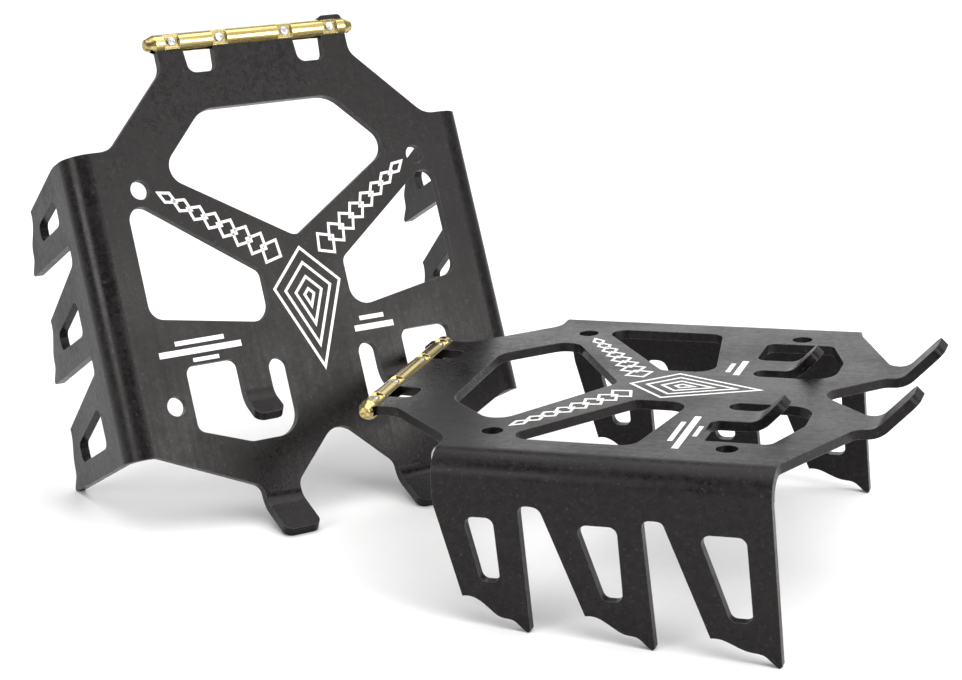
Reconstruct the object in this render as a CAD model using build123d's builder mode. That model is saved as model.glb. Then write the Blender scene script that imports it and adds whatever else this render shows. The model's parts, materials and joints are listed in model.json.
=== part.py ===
"""A pair of splitboard crampons: one stands on its six teeth, one stands on its tail and leans back.

Each crampon is a bent aluminium plate, a brass hinge rod and four rivets.
A crampon is made once in its own frame and then placed twice.
Crampon frame: +X runs from the hinge rod to the tail, +Y across the width, +Z up out of the deck.
Z = 0 is the top face of the deck and X = 0 is the middle of the deck, where the two arms meet.
"""
import os
from math import atan2, cos, degrees, hypot, radians, sin, tan

from build123d import *

# ---------------------------------------------------------------- driving dimensions, millimetres
SHEET = 3.0                    # thickness of the plate
WIDTH = 144.6                  # over the outer faces of the two flanges
BEND_OUTER = 8.0               # outer radius of the bend between deck and flange
FLANGE_TOP_Z = -9.0            # where the bend has ended and the flat flange begins

SHOULDER_X = -36.5             # front edge of the flanges
HEEL_X = 62.0                  # rear edge of the flanges at the bend
PLATE_FRONT_X = -71.2          # front edge of the plate, inside the hinge rod
NECK_Y = 34.4                  # half width of the neck behind the rod
NECK_END_X = -60.7             # where the neck starts to widen
SHOULDER_Y = 57.6              # where the widening reaches the shoulder

TAB_Y = (25.7, 34.4)           # the tab that passes right through the rod, at one end only
TAB_FRONT_X = -74.1

NOTCH_END_X = -59.05           # the two notches behind the rod
NOTCH_END_Y = (15.1, 24.6)
NOTCH_MOUTH_Y = (14.2, 25.8)

HOLE_DIAMETER = 6.4
FRONT_HOLE = (-24.9, 50.3)
REAR_HOLE = (45.5, 53.8)
LEANING_HOLE_SHIFT = 2.1       # the leaning crampon's four holes sit this much nearer the tail

PRONG_Y = (18.0, 30.6)         # tail prongs, bent up
PRONG_BEND_X = 80.3
PRONG_STRAIGHT = 12.4
TONGUE_Y = (19.85, 29.9)       # tongues inside the rear openings, bent up
TONGUE_BEND_X = 46.3
TONGUE_STRAIGHT = 6.7
UPTURN_ANGLE = 45.0            # both turn up by this many degrees
UPTURN_RADIUS = 6.0            # on the upper face
TIP_CORNER_RADIUS = 3.0

TOOTH_TIP_X = (-8.6, 28.0, 64.2)
FIRST_TIP_Z = -52.8
GROUND_SLOPE = 3.17            # degrees between the deck and the line through the tooth tips
TIP_BEVEL = 0.7                # rise of the small bevel at the rear of each tip
TOOTH_SCALLOP_RISE = (9.8, 8.7, 7.3)   # height of the wavy edge's upper shelf over each tip

ROD_DIAMETER = 6.2
ROD_LENGTH = 75.4
ROD_X = -69.9
ROD_TAPER = (3.2, 1.4)         # length and depth of the taper at each end
ROD_END_RADIUS = 0.4
ROD_SLOT_Y = 36.2              # half length of the slot that takes the plate
FLAT_LENGTH = 5.2              # milled flats that the rivets sit on
FLAT_HEIGHT = 2.0              # of a flat over the rod's axis
RIVET_Y = (-28.9, -11.9, 11.9, 28.9)
RIVET_SHANK = 2.4
RIVET_HEAD = 3.1
RIVET_HEAD_HEIGHT = 0.55

LEANING_YAW = 40.0             # degrees that the leaning crampon is turned from the standing one
LEANING_OFFSET = (-118.4, 26.2)        # its deck middle from the standing one's, along the floor

HALF = WIDTH / 2
MID_Z = -SHEET / 2
# Direction of the sheet's thickness in a turned-up strip.
TIP_THICKNESS = Axis((0, 0, 0), (-sin(radians(UPTURN_ANGLE)), 0, cos(radians(UPTURN_ANGLE))))


def tip_z(x):
    """Height of the line through the tooth tips at x."""
    return FIRST_TIP_Z - tan(radians(GROUND_SLOPE)) * (x - TOOTH_TIP_X[0])


def rounded_polygon(corners, mode=Mode.ADD):
    """A closed outline from (x, y, radius) corners, in the sketch that is being made."""
    points = [(x, y) for x, y, _ in corners]
    with BuildLine() as outline:
        Polyline(*points, close=True)
        for x, y, radius in corners:
            if radius:
                at_corner = [v for v in outline.vertices() if hypot(v.X - x, v.Y - y) < 1e-4]
                fillet(at_corner, radius)
    make_face(outline.edges(), mode=mode)


def both_sides(corners):
    """The same corners mirrored in Y, in an order that keeps the outline closed."""
    return corners + [(x, -y, r) for x, y, r in reversed(corners) if y]


# ---------------------------------------------------------------- outlines of the deck
def deck_outline():
    """Plan of the deck with the tops of the flanges, without the tab."""
    side = [
        (PLATE_FRONT_X, NECK_Y, 0),
        (NECK_END_X, NECK_Y, 6.0),
        (SHOULDER_X, SHOULDER_Y, 8.0),
        (SHOULDER_X, HALF, 0),
        (HEEL_X, HALF, 0),
        (62.4, 63.5, 5.0),
        (77.6, PRONG_Y[1], 4.0),
        (PRONG_BEND_X, PRONG_Y[1], 0),
        (PRONG_BEND_X, PRONG_Y[0], 0),
        (78.3, PRONG_Y[0], 4.5),
        (60.5, 0, 7.4),
    ]
    rounded_polygon(both_sides(side))


def front_opening():
    """The large opening between the rod and the two arms."""
    rounded_polygon(both_sides([(-46.75, 23.6, 10.5), (-27.2, 42.45, 6.3), (-0.8, 0, 4.0)]))


def side_opening(side):
    """The opening outside an arm; side is 1 or -1."""
    corners = [(-21.7, 56.0, 4.5), (19.0, 56.0, 5.0), (26.05, 14.85, 6.0), (8.8, 14.85, 3.5)]
    rounded_polygon([(x, side * y, r) for x, y, r in corners])


def rear_opening(side):
    """The opening round a tongue; side is 1 or -1."""
    corners = [
        (35.6, 48.2, 3.0),
        (35.6, TONGUE_Y[1], 3.0),
        (TONGUE_BEND_X, TONGUE_Y[1], 0),
        (TONGUE_BEND_X, TONGUE_Y[0], 0),
        (37.7, TONGUE_Y[0], 3.3),
        (37.7, 13.05, 3.3),
        (63.0, 13.05, 8.0),
        (63.0, 30.8, 5.0),
        (56.6, 48.2, 3.0),
    ]
    rounded_polygon([(x, side * y, r) for x, y, r in corners])


def notch(side):
    """A notch from the front edge of the plate, behind the rod; side is 1 or -1."""
    corners = [
        (PLATE_FRONT_X - 1, NOTCH_MOUTH_Y[0], 0),
        (NOTCH_END_X, NOTCH_END_Y[0], 3.0),
        (NOTCH_END_X, NOTCH_END_Y[1], 3.0),
        (PLATE_FRONT_X - 1, NOTCH_MOUTH_Y[1], 0),
    ]
    rounded_polygon([(x, side * y, r) for x, y, r in corners])


# ---------------------------------------------------------------- outlines of a flange, in X and Z
def scalloped_edge(tooth):
    """Points of the wavy lower edge of a tooth, from its front corner to its tip."""
    tip_x = TOOTH_TIP_X[tooth]
    rise = TOOTH_SCALLOP_RISE[tooth]
    shelf = 3.7
    steps = [
        (-20.2, rise), (-16.1, rise - 0.4), (-11.8, (rise + shelf) / 2 - 0.5),
        (-8.6, shelf + 0.4), (-5.2, shelf - 0.2), (-2.4, 1.2), (-0.8, 0),
    ]
    return [(tip_x + dx, tip_z(tip_x) + dz) for dx, dz in steps]


def rear_corner(tooth):
    """The corner between a tooth's tip and its straight trailing edge."""
    return TOOTH_TIP_X[tooth], tip_z(TOOTH_TIP_X[tooth]) + TIP_BEVEL


# Where the straight leading and trailing edges of the teeth start, under the flange's solid band.
LEADING_TOP = ((-36.1, -16.0), (-3.6, -17.0), (31.6, -17.5))
TRAILING_TOP = ((-10.75, -17.0), (25.25, -18.5), (HEEL_X, FLANGE_TOP_Z))
GAP_TOP = ((-7.3, -14.2), (28.6, -15.9))


def flange_outline():
    """The flange with its three teeth, from the end of the bend down."""
    with BuildLine() as outline:
        Polyline((HEEL_X, FLANGE_TOP_Z), (SHOULDER_X, FLANGE_TOP_Z), (SHOULDER_X, -13.0), LEADING_TOP[0])
        for tooth in range(3):
            edge = scalloped_edge(tooth)
            Line(LEADING_TOP[tooth], edge[0])
            Spline(*edge)
            Line(edge[-1], rear_corner(tooth))
            Line(rear_corner(tooth), TRAILING_TOP[tooth])
            if tooth < 2:
                Spline(TRAILING_TOP[tooth], GAP_TOP[tooth], LEADING_TOP[tooth + 1],
                       tangents=[(-0.06, 1), (0.35, -1)])
    make_face(outline.edges())


# Corners of the window in each tooth: upper front, upper rear, lower rear, lower front.
WINDOWS = (
    ((-27.5, -18.5), (-18.4, -18.5), (-17.0, -38.0), (-22.9, -38.0)),
    ((5.7, -18.6), (18.0, -18.6), (19.2, -41.0), (13.2, -41.0)),
    ((41.0, -18.9), (54.8, -18.9), (56.3, -44.0), (49.8, -44.0)),
)
WINDOW_RADII = (2.6, 2.6, 2.4, 2.4)


def upturn_points(bend_x, radius, straight):
    """End of the bend and tip, on the face of an upturned strip that bends at this radius."""
    angle = radians(UPTURN_ANGLE)
    end = (bend_x + radius * sin(angle), UPTURN_RADIUS - radius * cos(angle))
    tip = (end[0] + straight * cos(angle), end[1] + straight * sin(angle))
    return end, tip


def upturn_profile(bend_x, straight):
    """Side view of a strip that leaves the deck at bend_x and turns up."""
    centre = (bend_x, UPTURN_RADIUS)
    upper_end, upper_tip = upturn_points(bend_x, UPTURN_RADIUS, straight)
    lower_end, lower_tip = upturn_points(bend_x, UPTURN_RADIUS + SHEET, straight)
    with BuildLine() as profile:
        CenterArc(centre, UPTURN_RADIUS, -90, UPTURN_ANGLE)
        Polyline(upper_end, upper_tip, lower_tip, lower_end)
        CenterArc(centre, UPTURN_RADIUS + SHEET, -90, UPTURN_ANGLE)
        Line((bend_x, 0), (bend_x, -SHEET))
    make_face(profile.edges())


# ---------------------------------------------------------------- the plate
def make_plate(hole_shift):
    """The bent aluminium plate."""
    with BuildPart() as plate:
        # deck with its two bends: the section across the width, cut to the plan of the deck
        with BuildSketch(Plane.YZ.offset(PLATE_FRONT_X)):
            with BuildLine():
                FilletPolyline((-HALF, FLANGE_TOP_Z), (-HALF, 0), (HALF, 0), (HALF, FLANGE_TOP_Z),
                               radius=BEND_OUTER)
                Line((HALF, FLANGE_TOP_Z), (HALF - SHEET, FLANGE_TOP_Z))
                FilletPolyline((HALF - SHEET, FLANGE_TOP_Z), (HALF - SHEET, -SHEET),
                               (SHEET - HALF, -SHEET), (SHEET - HALF, FLANGE_TOP_Z),
                               radius=BEND_OUTER - SHEET)
                Line((SHEET - HALF, FLANGE_TOP_Z), (-HALF, FLANGE_TOP_Z))
            make_face()
        extrude(amount=PRONG_BEND_X - PLATE_FRONT_X)
        with BuildSketch(Plane.XY.offset(FLANGE_TOP_Z)):
            deck_outline()
        extrude(amount=-FLANGE_TOP_Z, mode=Mode.INTERSECT)

        # openings, notches and holes
        with BuildSketch():
            front_opening()
            for side in (-1, 1):
                side_opening(side)
                rear_opening(side)
                notch(side)
                for x, y in (FRONT_HOLE, REAR_HOLE):
                    with Locations((x + hole_shift, side * y)):
                        Circle(HOLE_DIAMETER / 2)
        extrude(amount=-SHEET, mode=Mode.SUBTRACT)

        # the tab through the rod
        with BuildSketch():
            rounded_polygon([(TAB_FRONT_X, TAB_Y[0], 1.6), (TAB_FRONT_X, TAB_Y[1], 1.6),
                             (PLATE_FRONT_X, TAB_Y[1], 0), (PLATE_FRONT_X, TAB_Y[0], 0)])
        extrude(amount=-SHEET)

        with BuildSketch():
            with Locations([(ROD_X, y) for y in RIVET_Y]):
                Circle(RIVET_SHANK / 2)
        extrude(amount=-SHEET, mode=Mode.SUBTRACT)

        # flanges with their teeth and windows
        for side in (-1, 1):
            with BuildSketch(Plane.XZ.offset(-side * HALF)):
                flange_outline()
                for window in WINDOWS:
                    corners = [(x, z, r) for (x, z), r in zip(window, WINDOW_RADII)]
                    rounded_polygon(corners, Mode.SUBTRACT)
            extrude(amount=side * SHEET)

        # tail prongs and tongues
        for bend_x, straight, (inner, outer) in (
            (PRONG_BEND_X, PRONG_STRAIGHT, PRONG_Y),
            (TONGUE_BEND_X, TONGUE_STRAIGHT, TONGUE_Y),
        ):
            for side in (-1, 1):
                with BuildSketch(Plane.XZ.offset(-side * outer)):
                    upturn_profile(bend_x, straight)
                extrude(amount=side * (outer - inner))
                fillet(plate.edges(Select.LAST).filter_by(TIP_THICKNESS), TIP_CORNER_RADIUS)
    return plate


# ---------------------------------------------------------------- the hinge rod and its rivets
def make_rod():
    """The brass hinge rod, slotted from behind for the plate."""
    radius = ROD_DIAMETER / 2
    length, depth = ROD_TAPER
    with BuildPart() as rod:
        # one half of the long section, from end to end, turned about the rod's axis
        with BuildSketch(Plane.XY.offset(MID_Z)):
            with BuildLine():
                FilletPolyline(
                    (ROD_X, -ROD_LENGTH / 2),
                    (ROD_X + radius - depth, -ROD_LENGTH / 2),
                    (ROD_X + radius, length - ROD_LENGTH / 2),
                    (ROD_X + radius, ROD_LENGTH / 2 - length),
                    (ROD_X + radius - depth, ROD_LENGTH / 2),
                    (ROD_X, ROD_LENGTH / 2),
                    radius=ROD_END_RADIUS,
                )
                Line((ROD_X, ROD_LENGTH / 2), (ROD_X, -ROD_LENGTH / 2))
            make_face()
        revolve(axis=Axis((ROD_X, 0, MID_Z), (0, 1, 0)))

        # slot for the plate, and the way through for the tab
        rod_front, rod_rear = ROD_X - radius, ROD_X + radius
        with Locations(((PLATE_FRONT_X + rod_rear) / 2, 0, MID_Z)):
            Box(rod_rear - PLATE_FRONT_X, 2 * ROD_SLOT_Y, SHEET, mode=Mode.SUBTRACT)
        with Locations((rod_front, sum(TAB_Y) / 2, MID_Z)):
            Box(2 * (PLATE_FRONT_X - rod_front), TAB_Y[1] - TAB_Y[0], SHEET, mode=Mode.SUBTRACT)

        # flats for the rivets, above and below
        for y in RIVET_Y:
            for side in (-1, 1):
                z = MID_Z + side * (FLAT_HEIGHT + ROD_DIAMETER / 2)
                with Locations((ROD_X, y, z)):
                    Box(ROD_DIAMETER, FLAT_LENGTH, ROD_DIAMETER, mode=Mode.SUBTRACT)
            with Locations((ROD_X, y, MID_Z)):
                Cylinder(RIVET_SHANK / 2, ROD_DIAMETER, mode=Mode.SUBTRACT)
    return rod


def make_rivet(y):
    """A rivet with a low domed head on each flat."""
    with BuildPart() as rivet:
        with Locations((ROD_X, y, MID_Z)):
            Cylinder(RIVET_SHANK / 2, 2 * FLAT_HEIGHT)
        for side in (-1, 1):
            z = MID_Z + side * (FLAT_HEIGHT + RIVET_HEAD_HEIGHT / 2)
            with Locations((ROD_X, y, z)):
                Cylinder(RIVET_HEAD / 2, RIVET_HEAD_HEIGHT)
        rims = rivet.faces().filter_by(Axis.Z).sort_by(Axis.Z)
        fillet([rims[0].edges()[0], rims[-1].edges()[0]], 0.4)
    return rivet


# ---------------------------------------------------------------- the two crampons in their places
def lean_angle():
    """Turn about Y that puts the rear tooth tips and the prong tips on one level."""
    tooth_x, tooth_z = rear_corner(2)
    prong_x, prong_z = upturn_points(PRONG_BEND_X, UPTURN_RADIUS + SHEET, PRONG_STRAIGHT)[1]
    return degrees(atan2(prong_z - tooth_z, prong_x - tooth_x))


def stand_on_floor(plate, turn):
    """The turn, followed by the lift that puts the plate's lowest point at Z = 0."""
    lift = -plate.moved(turn).bounding_box().min.Z
    return Location((0, 0, lift)) * turn


def hand_in(piece, place, name):
    """Put a finished piece in its place and write it as its own STEP file."""
    placed = piece.moved(place)
    placed.label = name
    export_step(placed, f"parts/{name}.step")


standing_plate = make_plate(0).part
leaning_plate = make_plate(LEANING_HOLE_SHIFT).part
rod = make_rod().part

standing = stand_on_floor(standing_plate, Location((0, 0, 0), (0, -GROUND_SLOPE, 0)))
lean = Location((0, 0, 0), (0, 0, -LEANING_YAW)) * Location((0, 0, 0), (0, lean_angle(), 0))
leaning = Location((*LEANING_OFFSET, 0)) * stand_on_floor(leaning_plate, lean)

# The origin is the middle of the pair's footprint, on the floor.
boxes = [plate.moved(place).bounding_box()
         for plate, place in ((standing_plate, standing), (leaning_plate, leaning))]
middle_x = (min(box.min.X for box in boxes) + max(box.max.X for box in boxes)) / 2
middle_y = (min(box.min.Y for box in boxes) + max(box.max.Y for box in boxes)) / 2
origin = Location((-middle_x, -middle_y, 0))

os.makedirs("parts", exist_ok=True)
for name, plate, place in (
    ("standing", standing_plate, origin * standing),
    ("leaning", leaning_plate, origin * leaning),
):
    hand_in(plate, place, f"{name}_plate")
    hand_in(rod, place, f"{name}_hinge_rod")
    for number, y in enumerate(RIVET_Y, start=1):
        hand_in(make_rivet(y).part, place, f"{name}_rivet_{number}")
    print(name, place)
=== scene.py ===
"""Looks for a pair of splitboard crampons: anodised plates, brass rods, rivets and plain deck marks."""
import json
from math import cos, radians, sin

import bmesh
import bpy
from mathutils import Matrix, Vector


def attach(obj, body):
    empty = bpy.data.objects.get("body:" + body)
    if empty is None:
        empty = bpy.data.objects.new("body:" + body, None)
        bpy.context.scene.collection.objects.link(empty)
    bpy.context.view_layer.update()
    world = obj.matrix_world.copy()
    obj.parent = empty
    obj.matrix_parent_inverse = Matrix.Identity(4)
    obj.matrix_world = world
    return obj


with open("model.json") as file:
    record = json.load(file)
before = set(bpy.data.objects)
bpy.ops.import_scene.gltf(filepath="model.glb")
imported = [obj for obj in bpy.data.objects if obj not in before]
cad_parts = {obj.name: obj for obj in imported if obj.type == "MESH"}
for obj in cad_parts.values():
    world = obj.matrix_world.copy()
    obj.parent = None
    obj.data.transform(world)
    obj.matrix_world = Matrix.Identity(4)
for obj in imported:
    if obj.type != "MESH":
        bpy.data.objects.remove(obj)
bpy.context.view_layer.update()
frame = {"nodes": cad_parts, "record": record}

MM = 0.001
CRAMPONS = ("standing", "leaning")
RIVETS = 4                     # on each crampon

# Where the hinge rod's middle is in a crampon's own frame: +X to the tail, +Z up out of the deck.
HINGE_X = -69.9 * MM
HINGE_Z = -1.5 * MM

# Camera
AZIMUTH = 18.79
ELEVATION = 17.42
ROLL = 0.08
CAMERA_PLACE = (0.2290, -0.6667, 0.2763)
LENS = 85.85
SENSOR = 36.0

# Lights, world and floor
WORLD_STRENGTH = 0.46
LIGHTS = (
    # name, place, the point it faces, side of the square, power in watts
    ("top_light", (0.3, 0.1, 1.7), (0.0, 0.0, 0.0), 2.2, 40.0),
    ("right_light", (1.0, -0.30, 0.48), (-0.06, -0.02, 0.06), 0.55, 7.8),
    ("back_light", (-0.2, 1.4, 0.53), (0.1, 0.0, 0.03), 1.0, 3.6),
    ("left_light", (-0.49, -0.91, 0.38), (-0.1, -0.04, 0.08), 0.36, 4.0),
)
FLOOR_HALF = 6.0               # half the side of the floor

# Deck marks, in millimetres in a crampon's own frame
MARK_LOW = -0.02               # heights of a mark's two faces over the deck
MARK_HIGH = 0.06
LINE = 0.9                     # width of the drawn lines
ARM_START = (-21.6, 45.4)
ARM_END = (5.4, 6.6)
DIAMONDS = 8
DIAMOND_OVERLAP = 1.55         # length of a diamond over the step from one to the next
DIAMOND_HALF_WIDTH = (2.2, 4.9)
KITE = ((2.5, 0.0), (15.5, 12.4), (44.5, 0.0), (15.5, -12.4))
KITE_CENTRE = (19.5, 0.0)
KITE_SCALES = (1.0, 0.7, 0.42, 0.18)
BARS = (
    # x, first y, last y, thickness
    (28.0, -50.0, -33.0, 1.5),
    (31.0, -56.0, -27.5, 2.0),
    (34.0, -45.0, -36.0, 1.3),
    (29.6, 16.0, 25.0, 1.5),
    (32.8, 13.5, 28.0, 2.0),
)


# ---------------------------------------------------------------- camera, floor and lights
def make_camera():
    """The camera, at its place and turned by azimuth, elevation and roll."""
    data = bpy.data.cameras.new("camera")
    data.lens = LENS
    data.sensor_width = SENSOR
    camera = bpy.data.objects.new("camera", data)
    bpy.context.scene.collection.objects.link(camera)
    azimuth, elevation = radians(AZIMUTH), radians(ELEVATION)
    back = Vector((sin(azimuth) * cos(elevation), -cos(azimuth) * cos(elevation), sin(elevation)))
    turn = back.to_track_quat("Z", "Y").to_matrix() @ Matrix.Rotation(radians(ROLL), 3, "Z")
    camera.matrix_world = Matrix.Translation(CAMERA_PLACE) @ turn.to_4x4()
    bpy.context.scene.camera = camera


def make_light(name, place, target, size, power):
    """A square soft light that points at target and isn't seen itself."""
    data = bpy.data.lights.new(name, "AREA")
    data.shape = "SQUARE"
    data.size = size
    data.energy = power
    light = bpy.data.objects.new(name, data)
    bpy.context.scene.collection.objects.link(light)
    light.visible_camera = False
    light.location = place
    light.rotation_mode = "QUATERNION"
    light.rotation_quaternion = (Vector(target) - Vector(place)).to_track_quat("-Z", "Y")


def make_world():
    """Plain white light from all round."""
    world = bpy.data.worlds.new("studio")
    bpy.context.scene.world = world
    world.use_nodes = True
    background = world.node_tree.nodes["Background"]
    background.inputs["Color"].default_value = (1.0, 1.0, 1.0, 1.0)
    background.inputs["Strength"].default_value = WORLD_STRENGTH


def make_floor():
    """A large pale floor under the object."""
    corners = [(x * FLOOR_HALF, y * FLOOR_HALF, 0) for x, y in ((-1, -1), (1, -1), (1, 1), (-1, 1))]
    mesh = bpy.data.meshes.new("floor")
    mesh.from_pydata(corners, [], [(0, 1, 2, 3)])
    floor = bpy.data.objects.new("floor", mesh)
    bpy.context.scene.collection.objects.link(floor)
    mesh.materials.append(floor_material())


# ---------------------------------------------------------------- materials
class Nodes:
    """Short calls for building one material's node tree. Noise scales count features in a metre."""

    def __init__(self, name):
        self.material = bpy.data.materials.new(name)
        self.material.use_nodes = True
        self.tree = self.material.node_tree
        self.shader = self.tree.nodes["Principled BSDF"]

    def add(self, kind, **settings):
        """A node with its properties and inputs set; an input may be given another node's socket."""
        node = self.tree.nodes.new(kind)
        for key, value in settings.items():
            if hasattr(node, key):
                setattr(node, key, value)
            else:
                self.feed(node.inputs[key.replace("_", " ")], value)
        return node

    def feed(self, socket, value):
        """Link a socket, or set it."""
        if isinstance(value, bpy.types.NodeSocket):
            self.tree.links.new(value, socket)
        else:
            socket.default_value = value

    def set(self, **inputs):
        """Values or links for the shader's own sockets."""
        for key, value in inputs.items():
            self.feed(self.shader.inputs[key.replace("_", " ")], value)

    def place(self):
        """A point's place in its piece, which moves with the piece."""
        return self.add("ShaderNodeTexCoord").outputs["Object"]

    def dot(self, first, second):
        """The dot product of two vectors."""
        node = self.add("ShaderNodeVectorMath", operation="DOT_PRODUCT")
        self.feed(node.inputs[0], first)
        self.feed(node.inputs[1], second)
        return node.outputs["Value"]

    def stretch(self, place, axis, amount=0.985):
        """A place squeezed along an axis, which draws noise out along that axis."""
        length = self.add("ShaderNodeVectorMath", operation="SCALE",
                          Scale=self.maths("MULTIPLY", self.dot(place, axis), -amount))
        self.feed(length.inputs[0], axis)
        shortened = self.add("ShaderNodeVectorMath", operation="ADD")
        self.feed(shortened.inputs[0], place)
        self.feed(shortened.inputs[1], length.outputs["Vector"])
        return shortened.outputs["Vector"]

    def noise(self, place, scale, detail=3.0, roughness=0.5):
        """Even noise between 0 and 1."""
        node = self.add("ShaderNodeTexNoise", Vector=place, Scale=scale, Detail=detail, Roughness=roughness)
        return node.outputs["Fac"]

    def ramp(self, value, low, high, to_low, to_high):
        """The value's range low to high, stretched to another range and held at its ends."""
        node = self.add("ShaderNodeMapRange", clamp=True)
        for socket, number in zip(node.inputs, (value, low, high, to_low, to_high)):
            self.feed(socket, number)
        return node.outputs["Result"]

    def maths(self, operation, first, second=0.0):
        """One sum on two values."""
        node = self.add("ShaderNodeMath", operation=operation)
        self.feed(node.inputs[0], first)
        self.feed(node.inputs[1], second)
        return node.outputs["Value"]

    def mix(self, factor, first, second):
        """A blend of two colours."""
        node = self.add("ShaderNodeMix", data_type="RGBA")
        self.feed(node.inputs["Factor"], factor)
        self.feed(node.inputs[6], first)
        self.feed(node.inputs[7], second)
        return node.outputs[2]

    def rounded(self, radius):
        """The surface's direction as if its edges were rounded."""
        return self.add("ShaderNodeBevel", samples=6, Radius=radius).outputs["Normal"]

    def edge(self, radius, low, high):
        """How near a point is to a sharp edge: 0 away from it and 1 on it."""
        true = self.add("ShaderNodeNewGeometry").outputs["Normal"]
        return self.ramp(self.dot(self.rounded(radius), true), 1.0 - low, 1.0 - high, 0.0, 1.0)

    def bump(self, height, distance, strength, radius):
        """Relief on top of slightly rounded edges."""
        node = self.add("ShaderNodeBump", Height=height, Distance=distance, Strength=strength,
                        Normal=self.rounded(radius))
        return node.outputs["Normal"]


def plate_material(name, axis):
    """Black-grey anodised sheet: mottled, drawn along its bends, with pale specks and pale edges that are
    partly wear and partly painted highlight.
    """
    n = Nodes(name)
    place = n.place()
    clouds = n.noise(place, 24.0, 4.0, 0.6)
    mottle = n.noise(place, 520.0, 4.0, 0.75)
    speckle = n.noise(place, 950.0, 3.0, 0.65)
    grain = n.noise(place, 2600.0, 2.0, 0.6)
    streaks = n.noise(n.stretch(place, axis), 650.0, 3.0, 0.6)

    dark, light = (0.0022, 0.0021, 0.0024, 1.0), (0.0110, 0.0099, 0.0098, 1.0)
    speck, bare_metal_and_highlight = (0.060, 0.053, 0.050, 1.0), (0.20, 0.19, 0.18, 1.0)
    tone = n.maths("ADD", n.ramp(clouds, 0.3, 0.7, 0.0, 0.30), n.ramp(mottle, 0.40, 0.63, 0.0, 0.70))
    body = n.mix(tone, dark, light)
    body = n.mix(n.ramp(speckle, 0.60, 0.72, 0.0, 0.5), body, speck)
    # Pale edges: partly worn anodising, partly a painted highlight along the sheet's edges.
    edge_wear_and_highlight = n.maths("MULTIPLY", n.edge(0.45 * MM, 0.02, 0.22), n.ramp(mottle, 0.35, 0.62, 0.3, 1.0))
    n.set(Base_Color=n.mix(n.maths("MULTIPLY", edge_wear_and_highlight, 0.65), body, bare_metal_and_highlight))

    sheen = n.maths("ADD", n.maths("MULTIPLY", mottle, 0.7), n.maths("MULTIPLY", streaks, 0.3))
    n.set(Roughness=n.ramp(n.maths("ADD", clouds, sheen), 0.82, 1.18, 0.24, 0.46))
    n.set(Metallic=0.0, Specular_IOR_Level=0.20, Specular_Tint=(1.0, 0.95, 0.93, 1.0))

    height = n.maths("ADD", n.maths("MULTIPLY", speckle, 0.6), grain)
    height = n.maths("ADD", n.maths("MULTIPLY", streaks, 0.9), height)
    n.set(Normal=n.bump(height, 0.045 * MM, 0.45, 0.35 * MM))
    return n.material


def brass_material(name, axis):
    """Turned brass: fine rings, drawn streaks along the rod that are partly painted dark reflections, a
    little tarnish and a painted highlight on the edges.
    """
    n = Nodes(name)
    place = n.place()
    rings = n.add("ShaderNodeTexNoise", noise_dimensions="1D", W=n.dot(place, axis), Scale=2600.0,
                  Detail=3.0).outputs["Fac"]
    streaks = n.noise(n.stretch(place, axis), 1000.0, 3.0, 0.6)
    tarnish = n.noise(place, 260.0, 4.0, 0.65)

    gold, streak_and_painted_reflection_brown = (0.58, 0.47, 0.20, 1.0), (0.165, 0.120, 0.040, 1.0)
    tarnished, painted_edge_highlight = (0.26, 0.21, 0.09, 1.0), (0.86, 0.78, 0.48, 1.0)
    scored = (0.32, 0.25, 0.10, 1.0)
    # Dark streaks along the rod: partly drawn marks, partly painted dark reflection bands.
    body = n.mix(n.ramp(streaks, 0.46, 0.60, 0.0, 0.9), gold, streak_and_painted_reflection_brown)
    body = n.mix(n.ramp(tarnish, 0.45, 0.72, 0.0, 0.55), body, tarnished)
    # Painted highlight: the rod's edges are made paler in colour.
    body = n.mix(n.edge(0.35 * MM, 0.02, 0.2), body, painted_edge_highlight)
    n.set(Base_Color=n.mix(n.ramp(rings, 0.35, 0.7, 0.0, 0.3), body, scored))

    n.set(Metallic=1.0, Roughness=n.ramp(n.maths("ADD", streaks, rings), 0.7, 1.3, 0.12, 0.30))
    height = n.maths("ADD", n.maths("MULTIPLY", rings, 0.35), streaks)
    n.set(Normal=n.bump(height, 0.07 * MM, 0.7, 0.15 * MM))
    return n.material


def rivet_material():
    """Pressed bright metal with small dents and dark stains."""
    n = Nodes("rivet_metal")
    place = n.place()
    dents = n.noise(place, 1100.0, 3.0, 0.6)
    stain = n.noise(place, 800.0, 3.0, 0.65)
    bright, stained = (0.56, 0.55, 0.56, 1.0), (0.20, 0.19, 0.19, 1.0)
    n.set(Base_Color=n.mix(n.ramp(stain, 0.4, 0.65, 0.0, 1.0), bright, stained))
    n.set(Metallic=1.0, Roughness=n.ramp(dents, 0.3, 0.7, 0.22, 0.42))
    n.set(Normal=n.bump(dents, 0.2 * MM, 0.9, 0.1 * MM))
    return n.material


def print_material():
    """White ink, thin in places and slightly rough."""
    n = Nodes("deck_ink")
    place = n.place()
    cover = n.noise(place, 700.0, 4.0, 0.65)
    white, thin = (0.80, 0.80, 0.79, 1.0), (0.35, 0.34, 0.34, 1.0)
    n.set(Base_Color=n.mix(n.ramp(cover, 0.55, 0.8, 0.0, 0.35), white, thin))
    n.set(Roughness=n.ramp(cover, 0.3, 0.7, 0.5, 0.65), Specular_IOR_Level=0.4)
    n.set(Normal=n.bump(cover, 0.02 * MM, 0.4, 0.02 * MM))
    return n.material


def floor_material():
    """Matt pale paper."""
    n = Nodes("floor_paper")
    fibre = n.noise(n.place(), 300.0, 3.0, 0.6)
    n.set(Base_Color=n.mix(fibre, (0.86, 0.86, 0.86, 1.0), (0.90, 0.90, 0.90, 1.0)), Roughness=0.9)
    return n.material


def dress(node, material):
    """Give a CAD node its material."""
    slots = frame["nodes"][node].data.materials
    slots.clear()
    slots.append(material)


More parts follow.
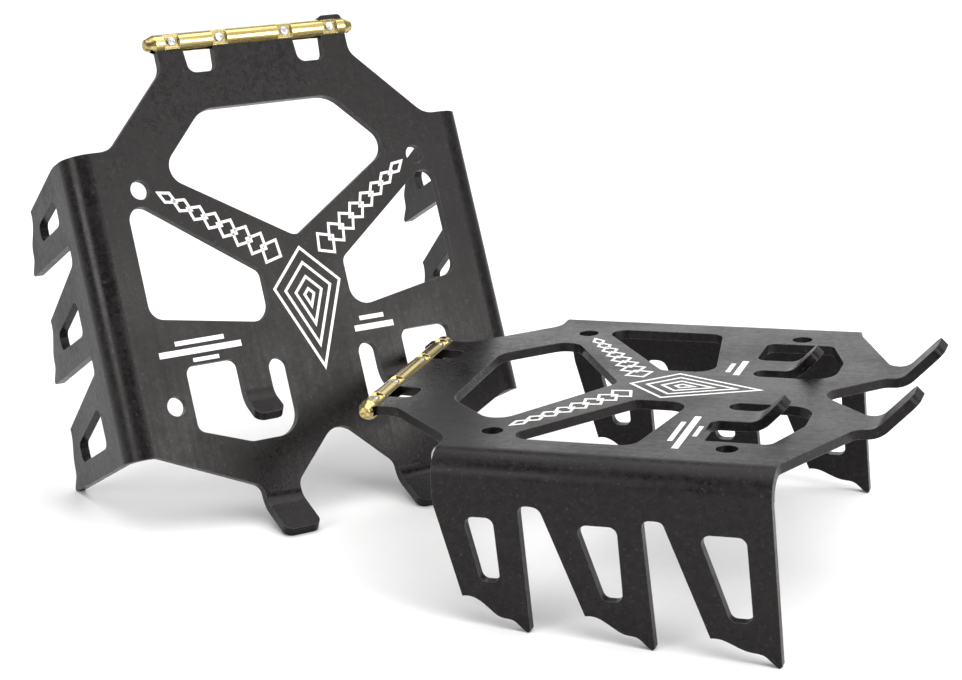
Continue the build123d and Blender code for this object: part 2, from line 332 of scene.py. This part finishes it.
# ---------------------------------------------------------------- deck marks
def deck_frame(crampon):
    """The matrix from a crampon's own frame to the row frame, from its mounts."""
    mounts = {mount["name"]: mount for mount in frame["record"]["mounts"]}
    hinge = mounts[crampon + "_hinge"]
    up = Vector(mounts[crampon + "_front_holes"]["axis"]).normalized()
    across = Vector(hinge["axis"]).normalized()
    along = across.cross(up)
    origin = Vector(hinge["pos_m"]) - along * HINGE_X - up * HINGE_Z
    return Matrix.Translation(origin) @ Matrix((along, across, up)).transposed().to_4x4()


def add_plate(mesh, outline, inner=()):
    """A thin flat mark with this outline; with an inner outline it is a ring between the two."""
    rings = []
    for loop in (outline, inner):
        if loop:
            rings.append([[mesh.verts.new((x * MM, y * MM, z * MM)) for x, y in loop]
                          for z in (MARK_LOW, MARK_HIGH)])
    low, high = rings[0]
    count = len(low)
    for i in range(count):
        j = (i + 1) % count
        mesh.faces.new((low[i], low[j], high[j], high[i]))
        if inner:
            inner_low, inner_high = rings[1]
            mesh.faces.new((inner_low[j], inner_low[i], inner_high[i], inner_high[j]))
            mesh.faces.new((high[i], high[j], inner_high[j], inner_high[i]))
            mesh.faces.new((low[j], low[i], inner_low[i], inner_low[j]))
    if not inner:
        mesh.faces.new(high)
        mesh.faces.new(low[::-1])


def line_intersection(a, b, c, d):
    """Where the line through a and b crosses the line through c and d."""
    r, s = b - a, d - c
    return a + r * ((c - a).cross(s) / r.cross(s))


def inset(points, width):
    """The same convex outline, moved inwards by a width."""
    points = [Vector(p) for p in points]
    centre = sum(points, Vector((0, 0))) / len(points)
    sides = []
    for a, b in zip(points, points[1:] + points[:1]):
        normal = Vector((a.y - b.y, b.x - a.x)).normalized()
        if normal.dot(centre - a) < 0:
            normal = -normal
        sides.append((a + normal * width, b + normal * width))
    return [line_intersection(*sides[i - 1], *sides[i]) for i in range(len(sides))]


def add_line_figure(mesh, points):
    """A closed figure drawn with a line of the marks' width."""
    add_plate(mesh, [Vector(p) for p in points], inset(points, LINE))


def arm_diamonds(side):
    """The row of diamonds along an arm, growing towards the middle; side is 1 or -1."""
    start, end = Vector((ARM_START[0], side * ARM_START[1])), Vector((ARM_END[0], side * ARM_END[1]))
    step = (end - start) / (DIAMONDS - 1 + DIAMOND_OVERLAP)
    across = Vector((-step.y, step.x)).normalized()
    first, last = DIAMOND_HALF_WIDTH
    for i in range(DIAMONDS):
        near, far = start + step * i, start + step * (i + DIAMOND_OVERLAP)
        half = across * (first + (last - first) * i / (DIAMONDS - 1))
        middle = (near + far) / 2
        yield [near, middle + half, far, middle - half]


def make_marks(crampon, material):
    """The plain white marks on a deck: diamonds on the arms, nested kites in the middle, and bars."""
    mesh = bmesh.new()
    for side in (-1, 1):
        for diamond in arm_diamonds(side):
            add_line_figure(mesh, diamond)
    centre = Vector(KITE_CENTRE)
    for scale in KITE_SCALES:
        add_line_figure(mesh, [centre + (Vector(p) - centre) * scale for p in KITE])
    for x, first, last, thickness in BARS:
        half = thickness / 2
        add_plate(mesh, [(x - half, first), (x + half, first), (x + half, last), (x - half, last)])
    bmesh.ops.recalc_face_normals(mesh, faces=mesh.faces)
    mesh.transform(deck_frame(crampon))
    data = bpy.data.meshes.new(crampon + "_deck_marks")
    mesh.to_mesh(data)
    mesh.free()
    data.materials.append(material)
    marks = bpy.data.objects.new(crampon + "_deck_marks", data)
    bpy.context.scene.collection.objects.link(marks)
    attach(marks, crampon + "_crampon")


# ---------------------------------------------------------------- the scene
make_camera()
bpy.context.scene.view_settings.view_transform = "Standard"
make_world()
for light in LIGHTS:
    make_light(*light)
make_floor()

rivets = rivet_material()
ink = print_material()
for crampon in CRAMPONS:
    along, across, _ = deck_frame(crampon).to_3x3().col
    dress(crampon + "_plate", plate_material(crampon + "_anodised_plate", along))
    dress(crampon + "_hinge_rod", brass_material(crampon + "_turned_brass", across))
    for number in range(1, RIVETS + 1):
        dress(f"{crampon}_rivet_{number}", rivets)
    make_marks(crampon, ink)
